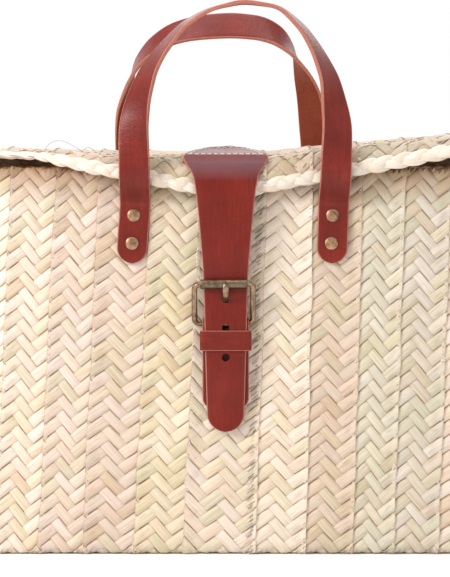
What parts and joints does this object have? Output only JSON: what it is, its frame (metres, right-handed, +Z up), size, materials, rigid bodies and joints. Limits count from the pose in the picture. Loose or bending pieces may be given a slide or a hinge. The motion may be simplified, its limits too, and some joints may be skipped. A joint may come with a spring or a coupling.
{
  "type": "woven market basket",
  "caption": "Rectangular plaited palm-leaf basket with a woven flap lid, two riveted strap handles and a tapered leather strap closed by a roller buckle.",
  "frame": {"origin": "centre of the flat floor, on its underside", "axes": "+X along the width to the viewer's right, -Y out of the front with the buckle, +Z up"},
  "size_m": [0.4416, 0.1738, 0.4049],
  "materials": {
    "weave": "matte",
    "rim": "matte",
    "leather": "satin",
    "backing": "matte",
    "brass": "satin"
  },
  "bodies": {
    "basket": {"body_band_centre": "weave", "body_band_left_1": "weave", "body_band_left_2": "weave", "body_band_left_3": "weave", "body_band_left_4": "weave", "body_band_left_5": "weave", "body_band_right_1": "weave", "body_band_right_2": "weave", "body_band_right_3": "weave", "body_band_right_4": "weave", "body_band_right_5": "weave", "buckle_backing_patch": "backing", "buckle_rivet_left": "brass", "buckle_rivet_right": "brass", "buckle_strap": "leather", "flap_hem": "weave", "front_backing_patch_left": "backing", "front_backing_patch_right": "backing", "front_handle_end_left": "leather", "front_handle_end_right": "leather", "front_rivet_left_lower": "brass", "front_rivet_left_upper": "brass", "front_rivet_right_lower": "brass", "front_rivet_right_upper": "brass", "keeper": "leather", "mouth_rim": "rim", "rear_backing_patch_left": "backing", "rear_backing_patch_right": "backing", "rear_handle_end_left": "leather", "rear_handle_end_right": "leather", "rear_rivet_left_lower": "brass", "rear_rivet_left_upper": "brass", "rear_rivet_right_lower": "brass", "rear_rivet_right_upper": "brass", "side_panel_left": "weave", "side_panel_right": "weave"},
    "flap": {"flap_band_centre": "weave", "flap_band_left_1": "weave", "flap_band_left_2": "weave", "flap_band_left_3": "weave", "flap_band_left_4": "weave", "flap_band_left_5": "weave", "flap_band_right_1": "weave", "flap_band_right_2": "weave", "flap_band_right_3": "weave", "flap_band_right_4": "weave", "flap_band_right_5": "weave", "flap_rim": "rim", "closure_tab": "leather"},
    "front_handle": {"front_handle_loop": "leather"},
    "rear_handle": {"rear_handle_loop": "leather"},
    "strap": {"closure_tail": "leather"},
    "buckle": {"buckle_frame": "brass"},
    "roller": {"buckle_roller": "brass"},
    "prong": {"buckle_prong": "brass"}
  },
  "joints": [
    {"name": "flap_hinge", "type": "hinge", "parent": "basket", "child": "flap", "pos_m": [0, 0.0665, 0.2872], "axis": [-1, 0, 0], "range_deg": [0, 70]},
    {"name": "front_handle_swing", "type": "hinge", "parent": "basket", "child": "front_handle", "pos_m": [0, -0.06529, 0.256], "axis": [1, 0, 0], "range_deg": [0, 85]},
    {"name": "rear_handle_swing", "type": "hinge", "parent": "basket", "child": "rear_handle", "pos_m": [0, 0.06529, 0.256], "axis": [-1, 0, 0], "range_deg": [0, 85]},
    {"name": "strap_swing", "type": "hinge", "parent": "flap", "child": "strap", "pos_m": [-0.0024, -0.0766, 0.277], "axis": [-1, 0, 0], "range_deg": [0, 100]},
    {"name": "buckle_swing", "type": "hinge", "parent": "basket", "child": "buckle", "pos_m": [-0.0024, -0.07185, 0.1702], "axis": [1, 0, 0], "range_deg": [0, 13]},
    {"name": "prong_swing", "type": "hinge", "parent": "buckle", "child": "prong", "pos_m": [-0.0024, -0.07185, 0.1702], "axis": [1, 0, 0], "range_deg": [0, 7]},
    {"name": "roller_spin", "type": "hinge", "parent": "buckle", "child": "roller", "pos_m": [-0.0024, -0.08164, 0.1997], "axis": [1, 0, 0], "continuous": true}
  ],
  "couplings": [
    {"joint": "buckle_swing", "follows": "strap_swing", "ratio": 0.12},
    {"joint": "prong_swing", "follows": "strap_swing", "ratio": 0.06}
  ]
}
